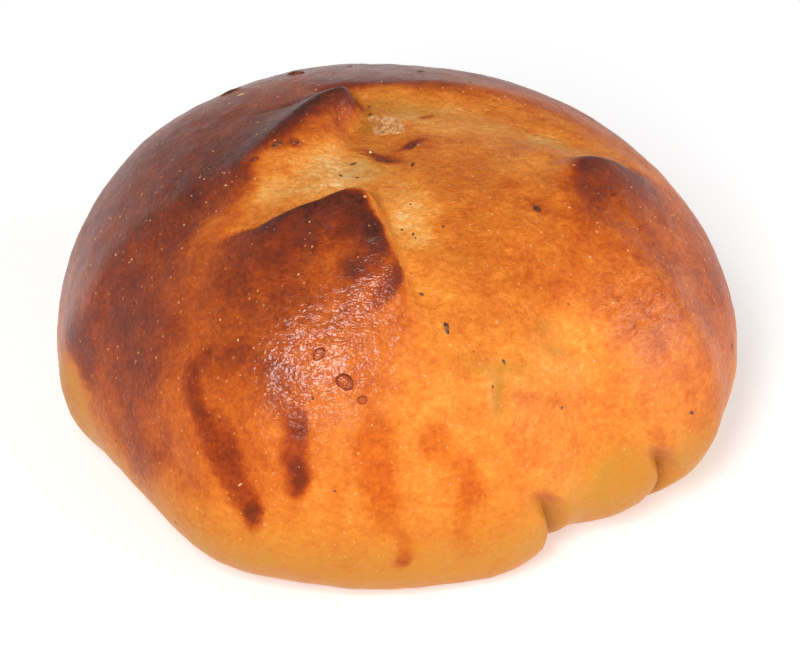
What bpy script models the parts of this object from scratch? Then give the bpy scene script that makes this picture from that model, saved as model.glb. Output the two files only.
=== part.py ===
"""A round glazed raisin bun. Its top was cut crosswise, and the cut opened in the oven into four flaps
round a dome of paler dough. Metres, +Z up, with the origin in the middle of the flat base.

Places on the crust are given on a map of it, in millimetres: u to the right and v to the back, each
point as far from the middle as it lies from the top of the loaf along the crust."""

import math

import bmesh
import bpy
import numpy as np
from mathutils import Matrix

MM = 0.001

# The loaf from above, in millimetres: its widest radius, its foot's radius and the height of the
# widest line, every 30 degrees anticlockwise from +X.
BELLY = (56.0, 54.5, 54.0, 53.5, 55.5, 55.5, 53.5, 49.5, 52.5, 50.0, 48.5, 54.0)
FOOT = (36.5, 40.0, 42.0, 43.0, 42.0, 40.0, 38.0, 34.0, 37.0, 39.0, 38.0, 33.0)
BELLY_HEIGHT = (17.5, 16.5, 16.0, 16.0, 16.0, 16.0, 16.0, 16.0, 16.0, 15.5, 16.0, 18.0)
LOAF_HEIGHT = 56
# The upper profile is a rounded arch: below 1, these powers make it fuller at the side and the top.
SIDE_FULLNESS = 0.74
TOP_FULLNESS = 1.08
# Tip is the angle down from the top: the widest line is at 90 degrees and the foot at this one.
FOOT_TIP = math.radians(130)
# Lobes of the foot where the dough was tucked under: turn and half width in degrees, and millimetres out.
LOBES = ((191, 6, 2), (237, 9, 1.4), (293, 8, 1.4), (311, 7.5, -5.6), (336, 6, 3))

# Edges of the opened cross. Each point has u and v, the lip's lift, the drop inside it, the run of that
# drop, and the reach of the lip's swell back over the flap. The flap lies on the left of the line.
FRONT_FLAP = (
    (15, -52, 0, 0, 5, 8), (7.5, -45, 0.7, 0.6, 5, 8), (3, -38, 1.6, 2, 5, 8), (0.3, -31, 2.6, 3, 5, 9),
    (-2, -24, 3.4, 4, 5, 9), (-4.8, -17.6, 4, 5, 4.5, 9), (-10.8, -18.9, 3.5, 5, 4.5, 9),
    (-17, -20.4, 2.5, 4, 4, 8), (-22, -21.4, 1.3, 2.5, 3.5, 7), (-28, -22, 0, 0, 3, 6),
)
LEFT_FLAP = (
    (-28, -22, 0, 0, 10, 8), (-26, -13, 1, 3, 16, 7), (-22, -4.5, 2, 5, 20, 6), (-17, 1.5, 3, 5.5, 18, 5),
    (-11.5, 7, 4.2, 5.5, 13, 4.5), (-7.2, 9.8, 4.1, 5.5, 5.5, 4), (-9, 12.8, 2, 3, 3.5, 4),
    (-14, 15, 0, 0, 3, 4),
)
BACK_FLAP = (
    (-14, 17, 0, 0, 3, 6), (-8, 17.6, 0.9, 2, 6, 6), (1, 18, 1, 2.4, 9, 6), (7.5, 18.8, 1.3, 2.6, 10, 5),
    (13, 19, 0.9, 2.6, 10, 5), (21, 18.6, 0.5, 2.8, 11, 6), (28.5, 16.6, 0.45, 2.8, 10, 6),
    (36, 12.2, 0.4, 2.2, 7, 6), (44, 6, 0, 0, 4, 6),
)
RIGHT_FLAP = (
    (44, 4, 0, 0, 4, 9), (38.5, 1.6, 1.5, 2.5, 3.5, 9), (33, -0.8, 3.1, 3.5, 3.5, 9),
    (28.5, -4.4, 3.3, 1.5, 6, 9), (28, -12, 1.6, 0.8, 9, 10), (30.5, -20, 1, 0.8, 10, 11),
    (32, -29, 0.9, 0.8, 10, 11), (31.5, -38, 0.6, 0.5, 9, 10), (27, -50, 0, 0, 8, 8),
)
# Hollows of the dough between the flaps: u, v, depth and half width at each point.
HOLLOWS = (
    ((-4, -4, 3.6, 5), (-7, -10, 4.8, 5.5), (-13, -14, 4.8, 6), (-19, -17, 3.4, 5), (-25, -20.5, 1.4, 4),
     (-29, -22, 0, 3)),
    ((-4.8, 15, 2.2, 3.5), (-3.6, 6, 3.4, 3.5), (-3.5, -1, 3.4, 4), (-2, -10, 2.8, 4.5), (0, -17, 3.2, 5),
     (3.5, -25, 3.6, 6), (7, -33, 3.4, 6.5), (11, -41, 2.6, 7), (17, -49, 1.6, 7), (24, -56, 0, 6)),
    ((-3, 11.5, 1.8, 4), (4, 12, 2.3, 5.5), (12, 11.5, 2.3, 6), (20, 9.2, 2.4, 5.5), (28, 5.5, 2.6, 4.5),
     (36, 3.4, 1.8, 3.5), (44, 3.8, 0, 3)),
)
# Creases: u, v, depth and half width. The first two are tucks that run in under the foot.
CREASES = (
    ((25, -65.5, 0, 1.4), (32.7, -65.3, 1.2, 1.4), (38, -65.6, 2.5, 1.7), (42.5, -66.5, 3.6, 2.1),
     (47, -69, 4, 2.6), (54, -76, 2, 3)),
    ((56, -45.4, 0, 1.3), (59.5, -45.6, 1.5, 1.3), (63, -45, 2.7, 1.6), (67, -44.6, 3.8, 2),
     (72, -46, 3.4, 2.5), (80, -51, 1.6, 3)),
    ((20.3, -45, 0, 1.6), (20.6, -49.5, 0.55, 1.6), (21.6, -55, 0, 1.6)),
    ((12, -44, 0, 1.6), (22, -44.8, 0.45, 1.6), (32.5, -43, 0, 1.6)),
    ((-52, -46, 0, 3), (-45, -53, 0.7, 3), (-34, -62, 0, 3)),
)
# Where two slopes meet, this many millimetres of the corner are rounded. Where a flap's fall runs out
# into the dome it is more, by this much for each flap after a fall of so many millimetres, and the
# rounding is gone again so far beyond.
CORNER = 0.5
FALL_FEET = (0, 0.7, 3, 2.5)
FULL_FALL = 4
FOOT_FADE = 8
# Broad swellings of the loaf: u, v, height and half width.
SWELLINGS = ((-38, 20, 0.5, 16),)
# How sharply a lip's swell dies away over its flap.
SWELL_POWER = 1.4
# The relief ends between these tips, so that the foot and the base keep their form.
RELIEF_FADES = math.radians(112)
RELIEF_ENDS = math.radians(127)
# A small thing sits on the plane of the crust this many millimetres round it.
SEAT_STEP = 0.5
# Blisters in the glaze, and tips of raisins baked into the crust: u, v, length, width and height in
# millimetres, and the way the length lies, in degrees from u.
BLISTERS = ((-11.9, -44.4, 2.4, 2, 0.9, 20), (-7.8, -49.4, 3.4, 2.6, 1.2, -35))
RAISIN_TIPS = (
    (-15.3, 28.1, 2.4, 2, 1.2, 0), (-26, 25.3, 3.6, 1.7, 1.2, -10), (-1, -4, 3.8, 1.6, 1.2, -28),
    (3.4, -1.1, 3, 1.3, 1.1, 36), (4.2, -6.7, 1.4, 1.2, 0.9, 0), (23.2, -14.9, 2.5, 1.6, 0.9, -35),
    (10.3, -41.4, 2.3, 1.4, 0.9, -60), (-17.5, -2.5, 1.8, 1.4, 0.9, 20),
)

# The crust is worked out on this many cells a side, then thinned to the share of its triangles that
# keeps the folds sharp.
CELLS = 220
FINER_AT_TOP = 1.15
SHARE_KEPT = 0.076
# Corners this near the base, in millimetres, lie on it.
BASE_PLAY = 0.05
SHARP_EDGE = math.radians(50)
CRUST_COLOUR = (0.47, 0.16, 0.035, 1)
CRUST_ROUGHNESS = 0.35
RAISIN_COLOUR = (0.05, 0.018, 0.012, 1)
RAISIN_ROUGHNESS = 0.5


def clear_scene():
    for thing in list(bpy.data.objects):
        bpy.data.objects.remove(thing, do_unlink=True)


def material(name, colour, roughness):
    made = bpy.data.materials.new(name)
    made.use_nodes = True
    shader = made.node_tree.nodes["Principled BSDF"]
    shader.inputs["Base Color"].default_value = colour
    shader.inputs["Roughness"].default_value = roughness
    shader.inputs["Metallic"].default_value = 0
    return made


def ease(x):
    x = np.clip(x, 0, 1)
    return x * x * (3 - 2 * x)


def through(a, b, c, d, f):
    """The smooth curve through four values, a fraction f of the way from the second to the third."""
    bend = (2 * a - 5 * b + 4 * c - d) * f**2
    twist = (3 * b - a - 3 * c + d) * f**3
    return 0.5 * (2 * b + (c - a) * f + bend + twist)


def round_the_loaf(values, turn):
    """A smooth closed curve through values spaced evenly round the loaf."""
    values = np.asarray(values, float)
    place = (turn % (2 * np.pi)) / (2 * np.pi) * len(values)
    last = np.floor(place).astype(int)
    around = (values[(last + step) % len(values)] for step in (-1, 0, 1, 2))
    return through(*around, place - last)


def lobes(turn):
    out = np.zeros_like(turn)
    for centre, half_width, height in LOBES:
        away = (np.degrees(turn) - centre + 180) % 360 - 180
        out = out + height * np.exp(-((away / half_width) ** 2))
    return out


def loaf(turn, tip):
    """A point of the uncut loaf: an arch down to the widest line, then a quarter ellipse in to the foot."""
    tucked = lobes(turn)
    belly = round_the_loaf(BELLY, turn) + 0.5 * tucked
    foot = round_the_loaf(FOOT, turn) + tucked
    belly_height = round_the_loaf(BELLY_HEIGHT, turn)
    arch = np.minimum(tip, np.pi / 2)
    under = np.clip((tip - np.pi / 2) / (FOOT_TIP - np.pi / 2), 0, 1) * np.pi / 2
    radius = np.where(
        tip <= np.pi / 2, belly * np.sin(arch) ** SIDE_FULLNESS, foot + (belly - foot) * np.cos(under)
    )
    rise = (LOAF_HEIGHT - belly_height) * np.maximum(np.cos(arch), 0) ** TOP_FULLNESS
    height = np.where(tip <= np.pi / 2, belly_height + rise, belly_height * (1 - np.sin(under)))
    return np.stack([radius * np.cos(turn), radius * np.sin(turn), height], -1)


# The distance from the top along the crust at each tip, measured down one ordinary side.
TIPS = np.radians(np.linspace(0, 130, 1301))
ORDINARY_TURN = 0.7
SIDE = loaf(np.full_like(TIPS, ORDINARY_TURN), TIPS)
REACHES = np.concatenate([[0], np.cumsum(np.linalg.norm(np.diff(SIDE, axis=0), axis=1))])
FOOT_REACH = REACHES[-1]
# A normal is measured over this angle, and not nearer to the very top than this many millimetres.
ANGLE_STEP = 0.002
NEXT_TO_TOP = 0.05


def smooth_line(points, steps=6):
    p = np.asarray(points, float)
    p = np.concatenate([2 * p[:1] - p[1:2], p, 2 * p[-1:] - p[-2:-1]])
    f = (np.arange(steps) / steps)[:, None]
    spans = [through(*four, f) for four in zip(p[:-3], p[1:-2], p[2:-1], p[3:])]
    return np.concatenate(spans + [p[-2:-1]])


def beside(uv, points):
    """Each place's distance from a smooth line, positive on its left, and the line's other values there."""
    line = smooth_line(points)
    nearest = np.full(len(uv), np.inf)
    side = np.ones(len(uv))
    values = np.zeros((len(uv), line.shape[1] - 2))
    for start, end in zip(line[:-1], line[1:]):
        way = end[:2] - start[:2]
        from_start = uv - start[:2]
        along = np.clip(from_start @ way / (way @ way), 0, 1)
        away = from_start - along[:, None] * way
        distance = np.hypot(away[:, 0], away[:, 1])
        better = distance < nearest
        nearest[better] = distance[better]
        side[better] = np.sign(way[0] * from_start[better, 1] - way[1] * from_start[better, 0])
        values[better] = start[2:] + along[better, None] * (end[2:] - start[2:])
    return nearest * np.where(side == 0, 1, side), values.T


def upper_of(a, b, corner):
    """The higher of two surfaces, with the corner between them rounded."""
    return 0.5 * (a + b + np.sqrt((a - b) ** 2 + corner**2))


def relief(uv):
    """Height of the crust over the plain loaf: hollows, the flaps over them, creases, then swellings."""
    height = np.zeros(len(uv))
    for hollow in HOLLOWS:
        distance, (depth, half_width) = beside(uv, hollow)
        height = np.minimum(height, -depth * np.exp(-((distance / half_width) ** 2)))
    for edge, foot in zip((FRONT_FLAP, LEFT_FLAP, BACK_FLAP, RIGHT_FLAP), FALL_FEET):
        distance, (lift, drop, run, swell) = beside(uv, edge)
        flap = lift * np.exp(-((np.maximum(distance, 0) / swell) ** SWELL_POWER))
        fall = (lift + drop) * ease(-distance / run)
        at_foot = fall / FULL_FALL * (1 - ease((-distance - run) / FOOT_FADE))
        height = upper_of(height, flap - fall, CORNER + foot * at_foot)
    for crease in CREASES:
        distance, (depth, half_width) = beside(uv, crease)
        height = height - depth * np.exp(-((distance / half_width) ** 2))
    for u, v, swelling, half_width in SWELLINGS:
        away = np.hypot(uv[:, 0] - u, uv[:, 1] - v)
        height = height + swelling * np.exp(-((away / half_width) ** 2))
    return height


def crust(uv):
    """Points of the finished crust, in millimetres: the loaf moved in or out along its own normal."""
    reach = np.maximum(np.hypot(uv[:, 0], uv[:, 1]), NEXT_TO_TOP)
    turn = np.arctan2(uv[:, 1], uv[:, 0])
    tip = np.interp(reach, REACHES, TIPS)
    across = loaf(turn + ANGLE_STEP, tip) - loaf(turn - ANGLE_STEP, tip)
    down = loaf(turn, tip + ANGLE_STEP) - loaf(turn, np.maximum(tip - ANGLE_STEP, 0))
    normal = np.cross(down, across)
    normal /= np.linalg.norm(normal, axis=1, keepdims=True)
    above_foot = 1 - ease((tip - RELIEF_FADES) / (RELIEF_ENDS - RELIEF_FADES))
    return loaf(turn, tip) + (relief(uv) * above_foot)[:, None] * normal


def disc(square):
    """A square grid pressed into a disc, so that its squares become rings. Returns u and v up to 1."""
    x, y = square[:, 0], square[:, 1]
    flat = np.abs(x) > np.abs(y)
    ring = np.where(flat, x, y)
    other = np.where(flat, y, x)
    share = np.divide(other, ring, out=np.zeros_like(ring), where=ring != 0)
    angle = np.where(flat, np.pi / 4 * share, np.pi / 2 - np.pi / 4 * share)
    return np.stack([ring * np.cos(angle), ring * np.sin(angle)], 1)


def make_bread():
    """One sheet of crust from the top to the foot, closed by the flat base."""
    shape = bmesh.new()
    bmesh.ops.create_grid(shape, x_segments=CELLS, y_segments=CELLS, size=1)
    uv = disc(np.array([corner.co[:2] for corner in shape.verts]))
    ring = np.hypot(uv[:, 0], uv[:, 1])[:, None]
    uv = uv * ring ** (FINER_AT_TOP - 1) * FOOT_REACH
    for corner, place in zip(shape.verts, crust(uv) * MM):
        corner.co = place
    rim = [edge for edge in shape.edges if edge.is_boundary]
    bmesh.ops.edgeloop_fill(shape, edges=rim)
    bmesh.ops.recalc_face_normals(shape, faces=shape.faces)
    mesh = bpy.data.meshes.new("bun")
    shape.to_mesh(mesh)
    shape.free()
    mesh.materials.append(material("crust", CRUST_COLOUR, CRUST_ROUGHNESS))
    bun = bpy.data.objects.new("bun", mesh)
    bpy.context.scene.collection.objects.link(bun)
    thin = bun.modifiers.new("thin", "DECIMATE")
    thin.ratio = SHARE_KEPT
    bun.data = as_modified(bun)
    flatten_base(bun.data)
    return bun


def as_modified(thing):
    """The mesh that the thing's modifiers make, with the modifiers then removed."""
    graph = bpy.context.evaluated_depsgraph_get()
    made = bpy.data.meshes.new_from_object(thing.evaluated_get(graph))
    thing.modifiers.clear()
    return made


def flatten_base(mesh):
    for corner in mesh.vertices:
        if corner.co.z < BASE_PLAY * MM:
            corner.co.z = 0


def seat(u, v, heading):
    """The frame of a small thing on the crust: its X along the heading, its Z out of the crust."""
    here, right, back = crust(np.array([(u, v), (u + SEAT_STEP, v), (u, v + SEAT_STEP)]))
    along_u = right - here
    along_v = back - here
    outward = np.cross(along_u, along_v)
    outward /= np.linalg.norm(outward)
    along_u /= np.linalg.norm(along_u)
    along_v = np.cross(outward, along_u)
    angle = math.radians(heading)
    x = along_u * math.cos(angle) + along_v * math.sin(angle)
    y = np.cross(outward, x)
    frame = Matrix.Identity(4)
    for column, axis in enumerate((x, y, outward, here * MM)):
        for row in range(3):
            frame[row][column] = axis[row]
    return frame


def make_bump(name, place, finish, collection):
    """A flattened ball, half sunk in the crust."""
    u, v, length, width, height, heading = place
    shape = bmesh.new()
    bmesh.ops.create_icosphere(shape, subdivisions=2, radius=0.5)
    size = Matrix.Diagonal((length * MM, width * MM, height * MM, 1))
    bmesh.ops.transform(shape, matrix=seat(u, v, heading) @ size, verts=shape.verts)
    mesh = bpy.data.meshes.new(name)
    shape.to_mesh(mesh)
    shape.free()
    mesh.materials.append(finish)
    collection.objects.link(bpy.data.objects.new(name, mesh))


def fuse_bumps(bun):
    """Joins the blisters and raisin tips to the crust with one union, and removes the loose shapes."""
    bumps = bpy.data.collections.new("bumps")
    bpy.context.scene.collection.children.link(bumps)
    for place in BLISTERS:
        make_bump("blister", place, bun.data.materials[0], bumps)
    raisin = material("raisin", RAISIN_COLOUR, RAISIN_ROUGHNESS)
    for place in RAISIN_TIPS:
        make_bump("raisin_tip", place, raisin, bumps)
    union = bun.modifiers.new("bumps", "BOOLEAN")
    union.operation = "UNION"
    union.operand_type = "COLLECTION"
    union.collection = bumps
    union.solver = "EXACT"
    union.material_mode = "TRANSFER"
    bun.data = as_modified(bun)
    for bump in list(bumps.objects):
        bpy.data.objects.remove(bump, do_unlink=True)
    bpy.data.collections.remove(bumps)


clear_scene()
bread = make_bread()
fuse_bumps(bread)
bread.data.shade_smooth()
bread.data.set_sharp_from_angle(angle=SHARP_EDGE)
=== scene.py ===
import itertools
import math

import bpy
import numpy as np
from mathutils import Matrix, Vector


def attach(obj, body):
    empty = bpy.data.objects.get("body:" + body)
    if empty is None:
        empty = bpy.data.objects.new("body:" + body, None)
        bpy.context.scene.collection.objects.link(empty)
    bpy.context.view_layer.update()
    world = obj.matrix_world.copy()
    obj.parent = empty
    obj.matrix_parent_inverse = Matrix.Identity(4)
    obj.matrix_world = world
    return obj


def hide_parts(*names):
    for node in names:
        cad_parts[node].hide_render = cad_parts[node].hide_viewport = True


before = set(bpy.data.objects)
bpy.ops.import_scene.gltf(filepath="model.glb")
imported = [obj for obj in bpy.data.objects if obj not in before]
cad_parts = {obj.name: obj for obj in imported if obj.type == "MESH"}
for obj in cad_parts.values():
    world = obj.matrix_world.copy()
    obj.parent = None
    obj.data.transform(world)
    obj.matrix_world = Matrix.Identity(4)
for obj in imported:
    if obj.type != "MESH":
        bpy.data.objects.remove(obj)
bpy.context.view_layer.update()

# The studio: a white light table before a white wall in a dim room, with soft boxes before the bun, on
# its right and on its left. The camera looks down on the bun from the front.
SENSOR_WIDTH_MM = 36
LENS_MM = 194.67
CAMERA_ELEVATION = 35
CAMERA_DISTANCE = 0.7
CAMERA_AIM = Vector((0.0017, 0, 0.0212))
WALL_LIGHT = 0.7
ROOM_LIGHT = 0.3
WALL_TOP = (0.05, 0.5)
WALL_EDGE = (0.1, -0.3)
TABLE_SIDE = 6
TABLE_DROP = 0.0002
TABLE_COLOUR = (0.8, 0.8, 0.8, 1)
TABLE_ROUGHNESS = 0.7
TABLE_GLOW = 0.48
# Azimuth to the right of the camera and elevation in degrees; distance, width and height in metres;
# and watts.
SOFT_BOXES = (
    ("front_box", -14, 41, 0.9, 0.22, 0.4, 6.3),
    ("right_box", 70, 14, 0.9, 0.8, 0.34, 4.0),
    ("left_box", -125, 10, 0.9, 0.6, 0.3, 0.5),
)


def towards(azimuth, elevation):
    """The unit vector from the bun to a place that far right of the camera and above the horizon."""
    turn = math.radians(azimuth)
    up = math.radians(elevation)
    return Vector((math.sin(turn) * math.cos(up), -math.cos(turn) * math.cos(up), math.sin(up)))


def face_the_bun(thing, direction, distance):
    """Puts a camera or a lamp that far from the bun, turned towards it."""
    thing.rotation_euler = (-direction).to_track_quat("-Z", "Y").to_euler()
    thing.location = CAMERA_AIM + direction * distance
    bpy.context.scene.collection.objects.link(thing)


def set_up_camera():
    lens = bpy.data.cameras.new("camera")
    lens.sensor_width = SENSOR_WIDTH_MM
    lens.lens = LENS_MM
    camera = bpy.data.objects.new("camera", lens)
    face_the_bun(camera, towards(0, CAMERA_ELEVATION), CAMERA_DISTANCE)
    bpy.context.scene.camera = camera
    bpy.context.scene.view_settings.view_transform = "Standard"


def set_up_light():
    """Hangs the soft boxes and lights the room, whose white back wall fades upwards and sidewards."""
    for name, azimuth, elevation, distance, width, height, watts in SOFT_BOXES:
        glow = bpy.data.lights.new(name, "AREA")
        glow.shape = "RECTANGLE"
        glow.size = width
        glow.size_y = height
        glow.energy = watts
        face_the_bun(bpy.data.objects.new(name, glow), towards(azimuth, elevation), distance)
    room = bpy.data.worlds.new("room")
    room.use_nodes = True
    tree = room.node_tree
    direction = tree.nodes.new("ShaderNodeTexCoord").outputs["Generated"]
    split = tree.nodes.new("ShaderNodeSeparateXYZ")
    tree.links.new(direction, split.inputs["Vector"])
    wall = []
    for axis, ends in (("Z", WALL_TOP), ("Y", WALL_EDGE)):
        fade = tree.nodes.new("ShaderNodeMapRange")
        tree.links.new(split.outputs[axis], fade.inputs["Value"])
        fade.inputs["From Min"].default_value, fade.inputs["From Max"].default_value = ends
        fade.inputs["To Min"].default_value = 1
        fade.inputs["To Max"].default_value = 0
        wall.append(fade.outputs["Result"])
    share = tree.nodes.new("ShaderNodeMath")
    share.operation = "MULTIPLY"
    tree.links.new(wall[0], share.inputs[0])
    tree.links.new(wall[1], share.inputs[1])
    bright = tree.nodes.new("ShaderNodeMapRange")
    tree.links.new(share.outputs[0], bright.inputs["Value"])
    bright.inputs["To Min"].default_value = ROOM_LIGHT
    bright.inputs["To Max"].default_value = WALL_LIGHT
    tree.nodes["Background"].inputs["Color"].default_value = (1, 1, 1, 1)
    tree.links.new(bright.outputs["Result"], tree.nodes["Background"].inputs["Strength"])
    bpy.context.scene.world = room


def new_material(name, roughness):
    """A material with a bare Principled shader. Returns it, its node tree and the shader."""
    made = bpy.data.materials.new(name)
    made.use_nodes = True
    shader = made.node_tree.nodes["Principled BSDF"]
    shader.inputs["Roughness"].default_value = roughness
    return made, made.node_tree, shader


def lay_table():
    """One square, a hair below the bun, that glows a little, as a light table does."""
    half = TABLE_SIDE / 2
    mesh = bpy.data.meshes.new("table")
    corners = [(-half, -half), (half, -half), (half, half), (-half, half)]
    mesh.from_pydata([(x, y, -TABLE_DROP) for x, y in corners], [], [(0, 1, 2, 3)])
    paint, _, shader = new_material("white_table", TABLE_ROUGHNESS)
    shader.inputs["Base Color"].default_value = TABLE_COLOUR
    shader.inputs["Emission Color"].default_value = TABLE_COLOUR
    shader.inputs["Emission Strength"].default_value = TABLE_GLOW
    mesh.materials.append(paint)
    table = bpy.data.objects.new("table", mesh)
    bpy.context.scene.collection.objects.link(table)


set_up_camera()
set_up_light()
lay_table()

# The loaf: a round ball of sweet yeast dough, tucked under by hand so that its foot has a few lobes,
# and baked standing on a flat tray. This is its form before the cut opened, in millimetres.
MM = 0.001
BELLY = (56.0, 54.5, 54.0, 53.5, 55.5, 55.5, 53.5, 49.5, 52.5, 50.0, 48.5, 54.0)
FOOT = (36.5, 40.0, 42.0, 43.0, 42.0, 40.0, 38.0, 34.0, 37.0, 39.0, 38.0, 33.0)
BELLY_HEIGHT = (17.5, 16.5, 16.0, 16.0, 16.0, 16.0, 16.0, 16.0, 16.0, 15.5, 16.0, 18.0)
LOAF_HEIGHT = 56
SIDE_FULLNESS = 0.74
TOP_FULLNESS = 1.08
FOOT_TIP = math.radians(130)
LOBE_ON_BELLY = 0.5
# Lobes of the foot: their middles and half widths in degrees of turn, and how far they stand out, or
# below 0 are tucked in.
LOBES = ((191, 6, 2), (237, 9, 1.4), (293, 8, 1.4), (311, 7.5, -5.6), (336, 6, 3))


def ease(x):
    """Rises from 0 to 1 with level ends: x squared times (3 - 2x)."""
    x = np.clip(x, 0, 1)
    return x * x * (3 - 2 * x)


def through(a, b, c, d, f):
    """The smooth cubic through four values, a fraction f of the way from the second to the third."""
    bend = (2 * a - 5 * b + 4 * c - d) * f**2
    twist = (3 * b - a - 3 * c + d) * f**3
    return 0.5 * (2 * b + (c - a) * f + bend + twist)


def round_the_loaf(values, turn):
    """A smooth closed curve through values spaced evenly round the loaf."""
    values = np.asarray(values, float)
    place = (turn % (2 * np.pi)) / (2 * np.pi) * len(values)
    last = np.floor(place).astype(int)
    around = (values[(last + step) % len(values)] for step in (-1, 0, 1, 2))
    return through(*around, place - last)


def lobes(turn):
    """The sum of a bell curve for each lobe: its height times e to minus (turn away / width) squared."""
    out = np.zeros_like(turn)
    for centre, half_width, height in LOBES:
        away = (np.degrees(turn) - centre + 180) % 360 - 180
        out = out + height * np.exp(-((away / half_width) ** 2))
    return out


def loaf(turn, tip):
    """Turn round the loaf and tip down from its top: the radius is the belly's times a power of
    sin(tip) and the height a power of cos(tip), then a quarter ellipse goes in to the foot."""
    tucked = lobes(turn)
    belly = round_the_loaf(BELLY, turn) + LOBE_ON_BELLY * tucked
    foot = round_the_loaf(FOOT, turn) + tucked
    belly_height = round_the_loaf(BELLY_HEIGHT, turn)
    arch = np.minimum(tip, np.pi / 2)
    under = np.clip((tip - np.pi / 2) / (FOOT_TIP - np.pi / 2), 0, 1) * np.pi / 2
    radius = np.where(
        tip <= np.pi / 2, belly * np.sin(arch) ** SIDE_FULLNESS, foot + (belly - foot) * np.cos(under)
    )
    rise = (LOAF_HEIGHT - belly_height) * np.maximum(np.cos(arch), 0) ** TOP_FULLNESS
    height = np.where(tip <= np.pi / 2, belly_height + rise, belly_height * (1 - np.sin(under)))
    return np.stack([radius * np.cos(turn), radius * np.sin(turn), height], -1)


# Places on the crust are given on a map of it: u to the right and v to the back, each as far from the
# middle as it lies from the top along the crust. The distances are measured down one ordinary side.
TIPS = np.linspace(0, FOOT_TIP, 1301)
ORDINARY_TURN = 0.7
SIDE = loaf(np.full_like(TIPS, ORDINARY_TURN), TIPS)
REACHES = np.concatenate([[0], np.cumsum(np.linalg.norm(np.diff(SIDE, axis=0), axis=1))])
FOOT_REACH = REACHES[-1]
ANGLE_STEP = 0.002
NEXT_TO_TOP = 0.05
TINY = 1e-12


def plain_loaf(uv):
    """Points of the loaf under places of the map, the normals there, and the tips."""
    reach = np.maximum(np.hypot(uv[:, 0], uv[:, 1]), NEXT_TO_TOP)
    turn = np.arctan2(uv[:, 1], uv[:, 0])
    tip = np.interp(reach, REACHES, TIPS)
    across = loaf(turn + ANGLE_STEP, tip) - loaf(turn - ANGLE_STEP, tip)
    down = loaf(turn, tip + ANGLE_STEP) - loaf(turn, np.maximum(tip - ANGLE_STEP, 0))
    normal = np.cross(down, across)
    normal /= np.linalg.norm(normal, axis=1, keepdims=True)
    return loaf(turn, tip), normal, tip


# The opened cross: the top was cut crosswise, and in the oven the four flaps drew back from a dome of
# soft dough. Each edge point has u and v, the lip's lift, the drop inside it, the run of that drop, and
# the reach of the lip's swell back over the flap, which lies on the left of the line.
FRONT_FLAP = (
    (15, -52, 0, 0, 5, 8), (7.5, -45, 0.7, 0.6, 5, 8), (3, -38, 1.6, 2, 5, 8), (0.3, -31, 2.6, 3, 5, 9),
    (-2, -24, 3.4, 4, 5, 9), (-4.8, -17.6, 4, 5, 4.5, 9), (-10.8, -18.9, 3.5, 5, 4.5, 9),
    (-17, -20.4, 2.5, 4, 4, 8), (-22, -21.4, 1.3, 2.5, 3.5, 7), (-28, -22, 0, 0, 3, 6),
)
LEFT_FLAP = (
    (-28, -22, 0, 0, 10, 8), (-26, -13, 1, 3, 16, 7), (-22, -4.5, 2, 5, 20, 6), (-17, 1.5, 3, 5.5, 18, 5),
    (-11.5, 7, 4.2, 5.5, 13, 4.5), (-7.2, 9.8, 4.1, 5.5, 5.5, 4), (-9, 12.8, 2, 3, 3.5, 4),
    (-14, 15, 0, 0, 3, 4),
)
BACK_FLAP = (
    (-14, 17, 0, 0, 3, 6), (-8, 17.6, 0.9, 2, 6, 6), (1, 18, 1, 2.4, 9, 6), (7.5, 18.8, 1.3, 2.6, 10, 5),
    (13, 19, 0.9, 2.6, 10, 5), (21, 18.6, 0.5, 2.8, 11, 6), (28.5, 16.6, 0.45, 2.8, 10, 6),
    (36, 12.2, 0.4, 2.2, 7, 6), (44, 6, 0, 0, 4, 6),
)
RIGHT_FLAP = (
    (44, 4, 0, 0, 4, 9), (38.5, 1.6, 1.5, 2.5, 3.5, 9), (33, -0.8, 3.1, 3.5, 3.5, 9),
    (28.5, -4.4, 3.3, 1.5, 6, 9), (28, -12, 1.6, 0.8, 9, 10), (30.5, -20, 1, 0.8, 10, 11),
    (32, -29, 0.9, 0.8, 10, 11), (31.5, -38, 0.6, 0.5, 9, 10), (27, -50, 0, 0, 8, 8),
)
# Hollows of the dough between the flaps: u, v, depth and half width at each point.
FRONT_HOLLOW = (
    (-4, -4, 3.6, 5), (-7, -10, 4.8, 5.5), (-13, -14, 4.8, 6), (-19, -17, 3.4, 5), (-25, -20.5, 1.4, 4),
    (-29, -22, 0, 3),
)
MIDDLE_HOLLOW = (
    (-4.8, 15, 2.2, 3.5), (-3.6, 6, 3.4, 3.5), (-3.5, -1, 3.4, 4), (-2, -10, 2.8, 4.5), (0, -17, 3.2, 5),
    (3.5, -25, 3.6, 6), (7, -33, 3.4, 6.5), (11, -41, 2.6, 7), (17, -49, 1.6, 7), (24, -56, 0, 6),
)
BACK_HOLLOW = (
    (-3, 11.5, 1.8, 4), (4, 12, 2.3, 5.5), (12, 11.5, 2.3, 6), (20, 9.2, 2.4, 5.5), (28, 5.5, 2.6, 4.5),
    (36, 3.4, 1.8, 3.5), (44, 3.8, 0, 3),
)
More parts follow.
